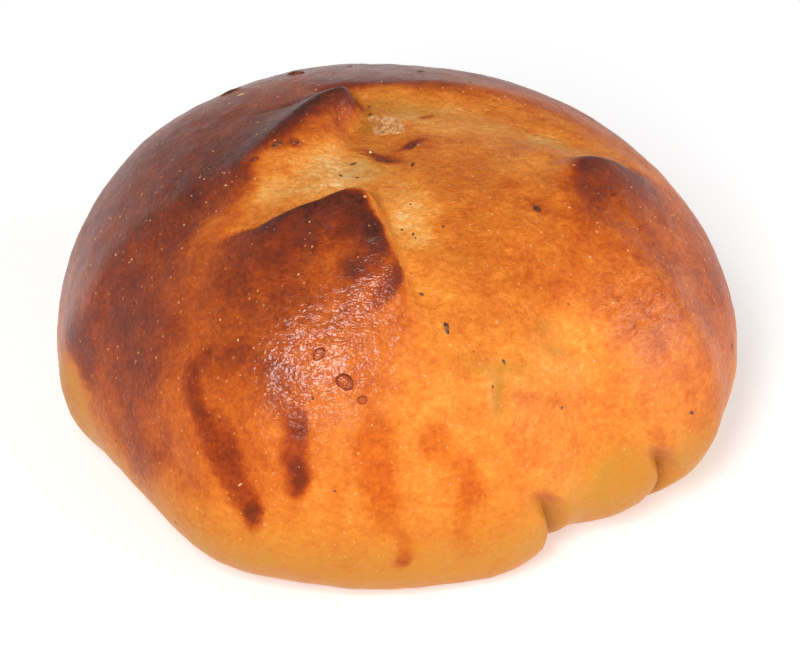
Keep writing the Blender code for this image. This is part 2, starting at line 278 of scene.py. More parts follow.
# Creases: u, v, depth and half width. The first two are tucks that run in under the foot.
CREASES = (
    ((25, -65.5, 0, 1.4), (32.7, -65.3, 1.2, 1.4), (38, -65.6, 2.5, 1.7), (42.5, -66.5, 3.6, 2.1),
     (47, -69, 4, 2.6), (54, -76, 2, 3)),
    ((56, -45.4, 0, 1.3), (59.5, -45.6, 1.5, 1.3), (63, -45, 2.7, 1.6), (67, -44.6, 3.8, 2),
     (72, -46, 3.4, 2.5), (80, -51, 1.6, 3)),
    ((20.3, -45, 0, 1.6), (20.6, -49.5, 0.55, 1.6), (21.6, -55, 0, 1.6)),
    ((12, -44, 0, 1.6), (22, -44.8, 0.45, 1.6), (32.5, -43, 0, 1.6)),
    ((-52, -46, 0, 3), (-45, -53, 0.7, 3), (-34, -62, 0, 3)),
)
# Millimetres of rounding where two slopes meet, and how much more at the foot of each flap's fall,
# after a fall of so many millimetres. The rounding is gone again so far beyond.
CORNER = 0.5
FALL_FEET = (0, 0.7, 3, 2.5)
FULL_FALL = 4
FOOT_FADE = 8
# Low swellings of a flap: u, v, height and half width.
SWELLINGS = ((-38, 20, 0.5, 16),)
SWELL_POWER = 1.4
RELIEF_FADES = math.radians(112)
RELIEF_ENDS = math.radians(127)
SPANS = 6
MAP_ONLY = (1, 1, 0, 0, 0, 0)


def smooth_line(points):
    """The smooth cubic through a line's points, in short straight spans, with its other values carried
    along."""
    p = np.asarray(points, float)
    p = np.concatenate([2 * p[:1] - p[1:2], p, 2 * p[-1:] - p[-2:-1]])
    f = (np.arange(SPANS) / SPANS)[:, None]
    curves = [through(*four, f) for four in zip(p[:-3], p[1:-2], p[2:-1], p[3:])]
    return np.concatenate(curves + [p[-2:-1]])


def beside(uv, points, onward=0):
    """Each place's distance from a smooth line, positive on its left, and the line's other values
    there: the nearest point of the nearest of its straight spans. The line can run straight on past
    both of its ends, by so many of its last spans."""
    line = smooth_line(points)
    if onward:
        before = line[:1] + onward * (line[:1] - line[1:2]) * MAP_ONLY
        after = line[-1:] + onward * (line[-1:] - line[-2:-1]) * MAP_ONLY
        line = np.concatenate([before, line, after])
    nearest = np.full(len(uv), np.inf)
    side = np.ones(len(uv))
    values = np.zeros((len(uv), line.shape[1] - 2))
    for start, end in zip(line[:-1], line[1:]):
        way = end[:2] - start[:2]
        from_start = uv - start[:2]
        along = np.clip(from_start @ way / (way @ way), 0, 1)
        away = from_start - along[:, None] * way
        distance = np.hypot(away[:, 0], away[:, 1])
        better = distance < nearest
        nearest[better] = distance[better]
        side[better] = np.sign(way[0] * from_start[better, 1] - way[1] * from_start[better, 0])
        values[better] = start[2:] + along[better, None] * (end[2:] - start[2:])
    return nearest * np.where(side == 0, 1, side), values.T


def upper_of(a, b, corner):
    """The higher of two surfaces, with the corner between them rounded: the mean plus half the root
    of their difference squared and the corner squared."""
    return 0.5 * (a + b + np.sqrt((a - b) ** 2 + corner**2))


def relief(uv):
    """Height over the plain loaf. Hollows are troughs with a bell section. Each flap swells to its lip
    and falls away inside it in an eased step, and the higher of flap and hollow shows. Creases are
    taken off and the swellings put on at the end."""
    height = np.zeros(len(uv))
    for hollow in (FRONT_HOLLOW, MIDDLE_HOLLOW, BACK_HOLLOW):
        distance, (depth, half_width) = beside(uv, hollow)
        height = np.minimum(height, -depth * np.exp(-((distance / half_width) ** 2)))
    for edge, foot in zip((FRONT_FLAP, LEFT_FLAP, BACK_FLAP, RIGHT_FLAP), FALL_FEET):
        distance, (lift, drop, run, swell) = beside(uv, edge)
        flap = lift * np.exp(-((np.maximum(distance, 0) / swell) ** SWELL_POWER))
        fall = (lift + drop) * ease(-distance / run)
        at_foot = fall / FULL_FALL * (1 - ease((-distance - run) / FOOT_FADE))
        height = upper_of(height, flap - fall, CORNER + foot * at_foot)
    for crease in CREASES:
        distance, (depth, half_width) = beside(uv, crease)
        height = height - depth * np.exp(-((distance / half_width) ** 2))
    for u, v, swelling, half_width in SWELLINGS:
        away = np.hypot(uv[:, 0] - u, uv[:, 1] - v)
        height = height + swelling * np.exp(-((away / half_width) ** 2))
    return height


# The skin: the dough's own skin is faintly uneven, and where the egg wash brushed on it is thick it dried
# in fine leathery wrinkles. Lengths are in millimetres.
SKIN_LOWERED = 0.2
# Blots of the unevenness: size and height.
UNEVENNESS = ((11, 0.16), (5, 0.14), (2.2, 0.08))
WRINKLE_SIZE = 1.7
WRINKLE_DEPTH = 0.1
WRINKLE_STRETCH = np.array([0.7, 1, 1.3])
WRINKLE_SEED = 7
# Ovals where the egg wash lies thick: u, v, half length, half width, heading in degrees, and amount.
THICK_GLAZE = (
    (-12, -44, 12, 13, 0, 1.0), (-4, -32, 5, 7, -20, 0.7), (-20, -38, 6, 8, 0, 0.4), (6, -48, 7, 7, 0, 0.3),
    (44, -27, 13, 17, 0, 0.9), (20, -52, 10, 6, 0, 0.4), (-30, -12, 20, 14, 20, 0.25),
)
# Runs of egg wash down the side: u, v, thickness in millimetres and half width.
RUNS = (
    ((-37, -38, 0, 2), (-36, -43.5, 0.12, 2), (-33.5, -50, 0.13, 2.3), (-31, -56, 0.14, 2.8),
     (-29.3, -62, 0.16, 2.8), (-28.1, -66.5, 0.2, 2.6)),
    ((-17, -50, 0, 2.2), (-16.6, -54.3, 0.13, 2.1), (-17.6, -59, 0.16, 2.5), (-18.2, -63, 0.22, 3.2)),
    ((-3, -54, 0, 4), (-3, -58, 0.1, 4), (-2, -64, 0.09, 3.4), (0, -70, 0.08, 2.7), (2.4, -75, 0.06, 1.9),
     (3.8, -79, 0.12, 2.4)),
    ((5, -57, 0, 3), (8.5, -59, 0.07, 3.2), (14, -61.5, 0.06, 2.6), (17, -66, 0.08, 2.8),
     (17.4, -71, 0.06, 2.6), (18.5, -77, 0.03, 3.4)),
)
FULL_RUN = 0.12
THICKEST_RUN = 1.4
# The lowest and highest x, y and z of the plain loaf.
ALL_TURNS, ALL_TIPS = np.meshgrid(np.linspace(0, 2 * np.pi, 721), TIPS[::10])
WHOLE_LOAF = loaf(ALL_TURNS.ravel(), ALL_TIPS.ravel())
LOAF_ENDS = np.stack([WHOLE_LOAF.min(0), WHOLE_LOAF.max(0)])
# Where a thin even coat of egg wash shines: u, v, half length, half width, heading and amount.
THIN_GLAZE = (
    (-36, 4, 32, 24, 10, 0.45), (-6, 27, 26, 10, 0, 0.7), (-62, -8, 8, 12, 0, 0.9), (-10, 6, 5, 4, 45, 0.6),
    (36, -4, 12, 10, 0, 0.35), (16, -12, 14, 12, 0, 0.35), (-14, -9, 12, 6, 20, 0.4),
)


def grain(places, size, seed, stretch=1.0):
    """Smooth random heights from -1 to 1, one blot for each size millimetres: random values on a cubic
    grid over the whole loaf, blended across each cube with eased weights."""
    first, last = np.floor(LOAF_ENDS * stretch / size).astype(int)
    spot = places * stretch / size
    cube = np.floor(spot).astype(int)
    weight = ease(spot - cube)
    cube = np.clip(cube - first, 0, last - first)
    values = np.random.default_rng(seed).uniform(-1, 1, last - first + 2)
    total = np.zeros(len(places))
    for corner in itertools.product((0, 1), repeat=3):
        share = np.prod(np.where(corner, weight, 1 - weight), axis=1)
        total += share * values[tuple((cube + corner).T)]
    return total


def oval(uv, place):
    """A soft oval times its amount: e to minus the squares of the distances along and across it, each
    over its half size."""
    u, v, half_length, half_width, heading, amount = place
    turn = math.radians(heading)
    away = uv - (u, v)
    along = (away[:, 0] * math.cos(turn) + away[:, 1] * math.sin(turn)) / half_length
    across = (away[:, 1] * math.cos(turn) - away[:, 0] * math.sin(turn)) / half_width
    return amount * np.exp(-(along**2 + across**2))


def thick_glaze(uv):
    """The sum of the thick ovals, at most 1."""
    return np.clip(sum(oval(uv, place) for place in THICK_GLAZE), 0, 1)


def polish(uv):
    """How glossy the egg wash makes the crust: the thick and the thin glaze together."""
    return np.clip(thick_glaze(uv) + sum(oval(uv, place) for place in THIN_GLAZE), 0, 1)


def run_cover(uv):
    """1 in the middle of a full run of egg wash, more in the drop at its end, 0 beside it: the thickness
    over a full run's, times e to minus the fourth power of the distance over the half width."""
    cover = np.zeros(len(uv))
    for run in RUNS:
        distance, (thickness, half_width) = beside(uv, run)
        inside = np.exp(-((distance / half_width) ** 4))
        cover = np.maximum(cover, np.clip(thickness / FULL_RUN, 0, THICKEST_RUN) * inside)
    return cover


def skin(uv, places):
    """Fine height of the skin: blots of three sizes, creased wrinkles under thick egg wash, which are
    one minus the size of a random height, and the raised runs."""
    height = np.full(len(uv), -SKIN_LOWERED)
    for number, (size, amount) in enumerate(UNEVENNESS):
        height += amount * grain(places, size, number)
    creased = 1 - 2 * np.abs(grain(places, WRINKLE_SIZE, WRINKLE_SEED, WRINKLE_STRETCH))
    height += WRINKLE_DEPTH * thick_glaze(uv) * creased
    return height + FULL_RUN * run_cover(uv)


def crust(uv):
    """Points of the finished crust, in millimetres: the loaf moved in or out along its own normal."""
    places, normal, tip = plain_loaf(uv)
    above_foot = 1 - ease((tip - RELIEF_FADES) / (RELIEF_ENDS - RELIEF_FADES))
    return places + ((relief(uv) + skin(uv, places)) * above_foot)[:, None] * normal


# The colour of the bake, from 0, pale dough, to 1, nearly black, with painted shade added in the tucks at
# the foot and at the blisters' rims. The lips of the flaps stand nearest the heat and are darkest, the dough
# that opened last is pale, and the foot stays golden.
SIDE_BAKE = 0.35
FOOT_BAKE = 0.34
FOOT_PALES = (66, 84)
BASE_BAKE = 0.5
# Broad tones, laid on in this order: u, v, half length, half width, heading and bake.
DOME_TONES = (
    (18, -18, 13, 15, 0, 0.39), (30, -26, 8, 10, 0, 0.42), (4, -20, 4.5, 10, 10, 0.12),
    (8, -38, 5, 13, 15, 0.27), (9, -51, 8, 4.5, 0, 0.33), (14, -54, 12, 8, 0, 0.31),
    (8, -62, 9, 6, 0, 0.32), (10, 4, 7, 4, 0, 0.22), (20, -4, 6, 4, 0, 0.26), (-9, -8, 8, 7, 0, 0.06),
    (-17, -12, 9, 5, 15, 0.14), (6, 9.5, 13, 5, 0, 0.16), (24, 4, 8, 4.5, -15, 0.15),
    (38, -38, 8, 6, 0, 0.28), (26, -46, 9, 7, 0, 0.27), (24, -75, 7, 6, 0, 0.38),
    (45, -62, 16, 8, 30, 0.25),
)
# The flaps' own tones, which stop at the lip of each.
FRONT_TONES = (
    (-36, -52, 16, 10, -20, 0.5), (-28, -42, 16, 8, -15, 0.58), (-10, -47, 13, 8, 0, 0.46),
    (-13, -37, 15, 8, 0, 0.56), (-22, -29, 15, 9, 0, 0.7), (-12, -22, 18, 6, 5, 0.76),
    (-11, -20.5, 11, 3, 8, 0.83), (-4, -22, 4, 4, 0, 0.84), (-2.6, -26.5, 2.4, 4.5, 15, 0.86),
    (-4.8, -31, 2.6, 3, 0, 0.8), (-0.8, -35, 1.8, 4.5, -20, 0.77),
)
LEFT_TONES = (
    (-66, -26, 6, 14, 0, 0.5), (-54, -44, 11, 10, 0, 0.69), (-48, -34, 15, 10, 0, 0.72),
    (-40, 6, 34, 24, 10, 0.78), (-50, -20, 13, 13, 0, 0.79), (-35, -14, 8, 7, 0, 0.74),
    (-28, -2, 18, 7, 33, 0.86), (-11, 9, 9, 5.5, 35, 0.88),
)
BACK_TONES = (
    (2, 32, 54, 15, 0, 0.74), (-4, 19.5, 12, 4, 0, 0.76), (30, 20, 18, 7, -15, 0.58),
    (22, 18.5, 9, 4, 0, 0.46), (35, 15, 9, 5, -15, 0.45),
)
RIGHT_TONES = (
    (58, -2, 16, 22, 0, 0.6), (66, -22, 7, 14, 0, 0.47), (40, -14, 16, 7, 0, 0.56), (46, -26, 9, 8, 0, 0.5),
    (36, -1, 9, 8, -10, 0.76), (31, -5, 4.5, 6, 0, 0.8),
)
# For each flap its tones and over what distance inside the lip they are lost.
FLAP_TONES = (
    (BACK_FLAP, BACK_TONES, 3), (LEFT_FLAP, LEFT_TONES, 4.5), (FRONT_FLAP, FRONT_TONES, 1.2),
    (RIGHT_FLAP, RIGHT_TONES, 4),
)
# Small tones over all the others. The dark ones along the two tucks at the foot, at (38, -64.5) and (61,
# -43.5), are painted shade in the creases.
SPOT_TONES = (
    (-8.8, 7, 4.6, 3, 45, 0.9), (-63.5, -15, 4, 9, 0, 0.78), (-71, -15, 3.6, 8, 0, 0.3),
    (-69, -8, 1.5, 7, 0, 0.6), (-29.5, -17, 6, 2.4, 14, 0.45), (-10, 3.5, 5, 2, 45, 0.5),
    (-50, -47, 10, 6, -30, 0.6), (-32, -40.5, 3.4, 1.9, 10, 0.7), (-25.6, -41.6, 3, 2.4, 0, 0.72),
    (-20, -46, 4, 6, 20, 0.67), (-16.5, -54, 3, 4.4, 0, 0.56), (-1.6, -3.4, 3.6, 1.2, -30, 0.74),
    (3.4, -1.1, 2.2, 0.9, 36, 0.7), (23.2, -14.9, 1.8, 1.1, -35, 0.66), (-28.1, -66.3, 2.4, 2.4, 0, 0.56),
    (-18.2, -62.6, 3.4, 3, 0, 0.62), (3.8, -79, 2.3, 2.2, 0, 0.44), (-26, -58, 4.4, 6, 0, 0.5),
    (-27, -50, 4, 6, 0, 0.55), (6.2, 8.7, 1.2, 0.8, 0, 0.58), (-17.5, -2.5, 1.8, 1.2, 20, 0.62),
    (-14.9, -1.8, 1.2, 1, 0, 0.6), (-21.5, -5, 1.6, 1, 0, 0.66), (-3.6, 8.5, 0.9, 4, 0, 0.36),
    (25, -50, 4, 1.2, 10, 0.5), (33, -49.5, 3, 1, 0, 0.45), (21.3, -48, 5, 3, 0, 0.22),
    (9.5, -52.8, 6, 1.4, 40, 0.27), (22, -57.5, 5, 1.4, -30, 0.25), (38, -64.5, 5, 1.4, 0, 0.5),
    (61, -43.5, 4, 2, 0, 0.45),
)
# How much darker a lip is that lifts so far, and how far from its edge; and how much darker a run is.
LIP_BAKE = 0.1
FULL_LIFT = 3
LIP_REACH = 2.2
RUN_BAKE = 0.15
# How far the places wander, in millimetres, and in blots of which size: along u, finely along u, along v.
TONE_WANDER = 1.3
WANDER_SIZE = 5
FINE_WANDER_SIZE = 1.8
FINE_WANDER = 0.4
WANDER_SEEDS = (21, 23, 22)
# Past its ends a flap's border runs on by so many spans, and softens by so much of the way.
RUN_ON = 80
END_SOFTNESS = 0.9


def lay_tone(bake, uv, place, share=1):
    """Draws the bake towards the place's own, by the share times e to minus the third power of the
    distance from its middle over its half size: the soft oval's logarithm is that distance squared."""
    *where, value = place
    squared = -np.log(np.maximum(oval(uv, (*where, 1)), TINY))
    weight = np.exp(-(squared**1.5))
    return bake + share * weight * (value - bake)


def wandered(uv, places):
    """Places moved a little at random, so that no edge of a tone is drawn too clean."""
    broad, fine, across = WANDER_SEEDS
    along_u = grain(places, WANDER_SIZE, broad) + FINE_WANDER * grain(places, FINE_WANDER_SIZE, fine)
    return uv + TONE_WANDER * np.stack([along_u, grain(places, WANDER_SIZE, across)], 1)


def on_flap(uv, edge, lost):
    """1 on a flap and 0 inside its lip, eased between. Past the ends of the lip the border runs straight
    on and grows softer the further it goes."""
    distance, _ = beside(uv, edge)
    border, _ = beside(uv, edge, RUN_ON)
    soft = lost + END_SOFTNESS * np.maximum(np.abs(distance) - np.abs(border), 0)
    return ease((border + soft) / soft)


def browning_and_painted_shade(uv, places):
    """The bake at places of the crust: golden at the foot, then the dome's tones, then each flap's up to its
    lip, then the small tones, among them painted shade in the tucks, and the runs."""
    uv = wandered(uv, places)
    reach = np.hypot(uv[:, 0], uv[:, 1])
    low = ease((reach - FOOT_PALES[0]) / (FOOT_PALES[1] - FOOT_PALES[0]))
    bake = SIDE_BAKE + (FOOT_BAKE - SIDE_BAKE) * low
    for place in DOME_TONES:
        bake = lay_tone(bake, uv, place)
    for edge, tones, lost in FLAP_TONES:
        distance, (lift, *_) = beside(uv, edge)
        share = on_flap(uv, edge, lost)
        for place in tones:
            bake = lay_tone(bake, uv, place, share)
        on_lip = np.exp(-((distance / np.where(distance > 0, LIP_REACH, lost / 2)) ** 2))
        bake = bake + LIP_BAKE * np.clip(lift / FULL_LIFT, 0, 1) * on_lip
    for place in SPOT_TONES:
        bake = lay_tone(bake, uv, place)
    return np.clip(bake + RUN_BAKE * run_cover(uv), 0, 1)


# Where the dough is straw yellow instead of orange, as where it was folded in or stood low in the oven:
# u, v, half length, half width, heading and amount, besides all of the foot.
STRAW_PLACES = (
    (-71, -16, 6, 7, 0, 1), (58, -52, 8, 5, 0, 1), (-3.4, 7, 1.6, 4, 0, 0.9), (1, 12, 6, 2.5, 0, 0.6),
    (20.8, -51, 1.2, 4, 0, 0.9), (32.2, -41, 3.5, 1.2, 10, 0.9), (29.4, -38, 2, 1.2, 0, 0.8),
    (22, -46, 8, 1.2, 0, 0.5), (17, -47.5, 5, 1, -10, 0.4), (70, -40, 5, 8, 0, 0.5), (-4, -7, 4, 4, 0, 0.4),
)
STREAKS_LOST = 0.8


def straw(uv):
    """How straw yellow the dough is: 1 on the foot, its own amount in an oval, 0 on the orange crust."""
    reach = np.hypot(uv[:, 0], uv[:, 1])
    foot = ease((reach - FOOT_PALES[0]) / (FOOT_PALES[1] - FOOT_PALES[0]))
    return np.clip(foot + sum(oval(uv, place) for place in STRAW_PLACES), 0, 1)


def stretched(uv):
    """1 on the dome between the flaps, where the dough stretched in fine streaks, and little on them."""
    share = np.ones(len(uv))
    for edge, _, lost in FLAP_TONES:
        share = share * (1 - STREAKS_LOST * on_flap(uv, edge, lost))
    return share


# The bread is one sheet of crust from the top to the foot, closed by the base, which is flat where it
# stands and slightly hollow inside. Its grid is a square pressed into a disc.
CELLS = 296
FINER_AT_TOP = 1.15
BASE_RINGS = (0.93, 0.8, 0.6, 0.4, 0.2)
BASE_HOLLOW_MM = 0.6
FULL_HOLLOW = 0.6


def disc(square):
    """A square grid pressed into a disc, so that its squares become rings. Returns u and v up to 1."""
    x, y = square[:, 0], square[:, 1]
    flat = np.abs(x) > np.abs(y)
    ring = np.where(flat, x, y)
    other = np.where(flat, y, x)
    share = np.divide(other, ring, out=np.zeros_like(ring), where=ring != 0)
    angle = np.where(flat, np.pi / 4 * share, np.pi / 2 - np.pi / 4 * share)
    return np.stack([ring * np.cos(angle), ring * np.sin(angle)], 1)


def crust_grid(cells):
    """Places on the map for a square grid of corners, row by row, and the four corners of each cell."""
    steps = np.linspace(-1, 1, cells + 1)
    square = np.stack(np.meshgrid(steps, steps), -1).reshape(-1, 2)
    uv = disc(square)
    ring = np.hypot(uv[:, 0], uv[:, 1])[:, None]
    uv = uv * np.maximum(ring, TINY) ** (FINER_AT_TOP - 1) * FOOT_REACH
    numbers = np.arange((cells + 1) ** 2).reshape(cells + 1, cells + 1)
    quads = np.stack([numbers[:-1, :-1], numbers[:-1, 1:], numbers[1:, 1:], numbers[1:, :-1]], -1)
    rim = np.concatenate([numbers[0, :-1], numbers[:-1, -1], numbers[-1, :0:-1], numbers[:0:-1, 0]])
    return uv, quads.reshape(-1, 4), rim


def mesh_of(name, points_mm, faces):
    """A smooth-shaded mesh from points in millimetres and faces of three or four corners."""
    mesh = bpy.data.meshes.new(name)
    mesh.from_pydata(points_mm * MM, [], faces)
    mesh.shade_smooth()
    mesh.update()
    return mesh


def paint(mesh, name, values):
    """Stores one number at each corner of the mesh, for its material to read."""
    mesh.attributes.new(name, "FLOAT", "POINT").data.foreach_set("value", values.astype(np.float32))


def place_piece(name, mesh, finish):
    """Puts a mesh in the scene as a piece that rides with the bread."""
    mesh.materials.append(finish)
    piece = bpy.data.objects.new(name, mesh)
    bpy.context.scene.collection.objects.link(piece)
    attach(piece, "root")
    return piece


def link_in(tree, socket, source):
    """Feeds a socket from another node's output, or sets its own value."""
    if isinstance(source, bpy.types.NodeSocket):
        tree.links.new(source, socket)
    else:
        socket.default_value = source


def maths(tree, operation, *terms, clamp=False):
    """A Math node fed with nodes' outputs or numbers."""
    node = tree.nodes.new("ShaderNodeMath")
    node.operation = operation
    node.use_clamp = clamp
    for socket, term in zip(node.inputs, terms):
        link_in(tree, socket, term)
    return node.outputs[0]


def stored(tree, name):
    """The number that paint stored."""
    node = tree.nodes.new("ShaderNodeAttribute")
    node.attribute_name = name
    return node.outputs["Fac"]


def blots(tree, size_mm, detail=3, roughness=0.55, distortion=0.0, stretch=(1, 1, 1)):
    """A noise of that size on object coordinates, around 0.5."""
    coordinates = tree.nodes.new("ShaderNodeTexCoord").outputs["Object"]
    mapping = tree.nodes.new("ShaderNodeMapping")
    mapping.inputs["Scale"].default_value = stretch
    tree.links.new(coordinates, mapping.inputs["Vector"])
    noise = tree.nodes.new("ShaderNodeTexNoise")
    noise.inputs["Scale"].default_value = 1 / (size_mm * MM)
    noise.inputs["Detail"].default_value = detail
    noise.inputs["Roughness"].default_value = roughness
    noise.inputs["Distortion"].default_value = distortion
    tree.links.new(mapping.outputs["Vector"], noise.inputs["Vector"])
    return noise.outputs["Fac"]


DOT_SHARPNESS = 12


def dots(tree, spacing_mm, radius, share):
    """1 inside round dots, one in each cell that far apart, in that share of the cells: soft at the edge,
    and of any size up to the radius, which is a share of the spacing."""
    coordinates = tree.nodes.new("ShaderNodeTexCoord").outputs["Object"]
    cells = tree.nodes.new("ShaderNodeTexVoronoi")
    cells.inputs["Scale"].default_value = 1 / (spacing_mm * MM)
    tree.links.new(coordinates, cells.inputs["Vector"])
    lottery = tree.nodes.new("ShaderNodeSeparateColor")
    tree.links.new(cells.outputs["Color"], lottery.inputs["Color"])
    chosen = maths(tree, "LESS_THAN", lottery.outputs["Red"], share)
    sized = maths(tree, "MULTIPLY", lottery.outputs["Green"], radius)
    near = maths(tree, "SUBTRACT", sized, cells.outputs["Distance"])
    soft = maths(tree, "MULTIPLY", near, DOT_SHARPNESS, clamp=True)
    return maths(tree, "MULTIPLY", soft, chosen)


def ramp(tree, factor, stops):
    """Colours blended between stops, each a place from 0 to 1 and a colour."""
    node = tree.nodes.new("ShaderNodeValToRGB")
    link_in(tree, node.inputs["Fac"], factor)
    stones = node.color_ramp.elements
    for stone, (place, colour) in zip((stones[0], stones[1]), (stops[0], stops[-1])):
        stone.position = place
        stone.color = (*colour, 1)
    for place, colour in stops[1:-1]:
        stones.new(place).color = (*colour, 1)
    return node.outputs["Color"]


def mix(tree, factor, first, second, blend="MIX"):
    """The first colour with the second laid over it by the factor."""
    node = tree.nodes.new("ShaderNodeMix")
    node.data_type = "RGBA"
    node.blend_type = blend
    link_in(tree, node.inputs["Factor"], factor)
    link_in(tree, node.inputs["A"], first)
    link_in(tree, node.inputs["B"], second)
    return node.outputs["Result"]


def bump(tree, height, depth_mm, socket):
    """Feeds a shader's normal from a height, where 1 stands that many millimetres high."""
    node = tree.nodes.new("ShaderNodeBump")
    node.inputs["Distance"].default_value = depth_mm * MM
    tree.links.new(height, node.inputs["Height"])
    tree.links.new(node.outputs["Normal"], socket)


# The bake's colours: how far baked, and the colour.
BAKE_COLOURS = (
    (0.0, (0.96, 0.6, 0.24)),
    (0.12, (0.93, 0.4, 0.085)),
    (0.24, (0.84, 0.262, 0.03)),
    (0.38, (0.68, 0.165, 0.014)),
    (0.5, (0.54, 0.105, 0.007)),
    (0.62, (0.37, 0.058, 0.004)),
    (0.75, (0.22, 0.03, 0.005)),
    (0.88, (0.13, 0.022, 0.009)),
    (1.0, (0.05, 0.012, 0.008)),
)
FLECK_COLOUR = (0.85, 0.42, 0.14, 1)
FLECK_SPACING_MM = 1.2
FLECK_RADIUS = 0.2
FLECK_SHARE = 0.6
FLECK_STRENGTH = 0.4
STRAW_COLOUR = (0.5, 0.22, 0.02, 1)
STRAW_STRENGTH = 0.95
# Straw fades out along this line of the bake: its slope, and its height at 0.
STRAW_FADE = (-2.2, 1.5)
WASH_TINT = (0.95, 0.78, 0.2, 1)
# Mottling of the bake from blots of a size in millimetres: that size and how much it swings the bake.
BROAD_MOTTLING = (4.5, 0.34)
FINE_MOTTLING = (1.0, 0.56)
GLAZE_STREAKS = (1.6, 0.24)
DOME_STREAKS = (1.4, 0.26)
DOWNWARDS = (1.3, 1.3, 0.22)
ROUND_THE_DOME = (0.42, 1, 1.2)
# Roughness of bare crust, how much smoother thick glaze is, and how much both vary.
CRUST_ROUGHNESS = 0.28
GLAZE_SMOOTHER = -0.12
ROUGHNESS_SPREAD = 0.12
# Fine relief: the depth of the whole, and the shares of pimples, of more pimples on the dome, of
# wrinkles, and of both in the coat of glaze.
RELIEF_MM = 0.16
PIMPLES = 2.4
PIMPLES_ON_DOME = 2.4
WRINKLES = -3.0
COAT_WRINKLES = -1.5
COAT_PIMPLES = 0.8
CRUST_SPECULAR = 0.12
GLAZE_COAT = 0.52
COAT_ROUGHNESS = 0.12


def mottling(tree, size_and_swing, **kind):
    """A noise of that size, from minus to plus half of its swing."""
    size, swing = size_and_swing
    return maths(tree, "MULTIPLY_ADD", blots(tree, size, **kind), swing, -swing / 2)


def crust_finish():
    """The bake's colour with mottling, paler flecks and golden places. The relief of the finish is fine
    pimples, and creased wrinkles, which are the size of a noise less its mean, under thick egg wash."""
    made, tree, shader = new_material("baked_crust", 0.36)
    glaze = stored(tree, "glaze")
    dome = stored(tree, "stretched")
    broad = mottling(tree, BROAD_MOTTLING, detail=4)
    fine = mottling(tree, FINE_MOTTLING, detail=6, roughness=0.75)
    down = mottling(tree, GLAZE_STREAKS, detail=3, stretch=DOWNWARDS)
    around = mottling(tree, DOME_STREAKS, detail=5, roughness=0.6, stretch=ROUND_THE_DOME)
    down = maths(tree, "MULTIPLY", down, glaze)
    streaks = maths(tree, "ADD", down, maths(tree, "MULTIPLY", around, dome))
    tone = maths(tree, "ADD", stored(tree, "browning_and_painted_shade"), broad)
    tone = maths(tree, "ADD", tone, maths(tree, "ADD", fine, streaks))
    colour = ramp(tree, tone, BAKE_COLOURS)
    paleness = maths(tree, "MULTIPLY_ADD", tone, *STRAW_FADE, clamp=True)
    paleness = maths(tree, "MULTIPLY", paleness, STRAW_STRENGTH)
    golden = maths(tree, "MULTIPLY", stored(tree, "straw"), paleness)
    colour = mix(tree, golden, colour, STRAW_COLOUR)
    colour = mix(tree, stored(tree, "wash"), colour, WASH_TINT, blend="MULTIPLY")
    flecks = dots(tree, FLECK_SPACING_MM, FLECK_RADIUS, FLECK_SHARE)
    colour = mix(tree, maths(tree, "MULTIPLY", flecks, FLECK_STRENGTH), colour, FLECK_COLOUR)
    link_in(tree, shader.inputs["Base Color"], colour)
    smoother = maths(tree, "MULTIPLY_ADD", glaze, GLAZE_SMOOTHER, CRUST_ROUGHNESS)
    varied = maths(tree, "MULTIPLY_ADD", blots(tree, 2), ROUGHNESS_SPREAD, smoother)
    link_in(tree, shader.inputs["Roughness"], varied)
    pimples = maths(tree, "MULTIPLY_ADD", dome, PIMPLES_ON_DOME, PIMPLES)
    pimples = maths(tree, "MULTIPLY", blots(tree, 1.4, detail=5, roughness=0.7), pimples)
    uneven = blots(tree, 1.3, detail=2, distortion=0.8, stretch=(0.7, 1, 1.4))
    ridge = maths(tree, "ABSOLUTE", maths(tree, "SUBTRACT", uneven, 0.5))
    wrinkles = maths(tree, "MULTIPLY", maths(tree, "MULTIPLY", ridge, WRINKLES), glaze)
    bump(tree, maths(tree, "ADD", wrinkles, pimples), RELIEF_MM, shader.inputs["Normal"])
    grained = maths(tree, "MULTIPLY", blots(tree, 0.8, detail=1), COAT_PIMPLES)
    leather = maths(tree, "MULTIPLY_ADD", ridge, COAT_WRINKLES, grained)
    bump(tree, leather, RELIEF_MM, shader.inputs["Coat Normal"])
    link_in(tree, shader.inputs["Coat Weight"], maths(tree, "MULTIPLY", stored(tree, "polish"), GLAZE_COAT))
    shader.inputs["Coat Roughness"].default_value = COAT_ROUGHNESS
    shader.inputs["Specular IOR Level"].default_value = CRUST_SPECULAR
    return made


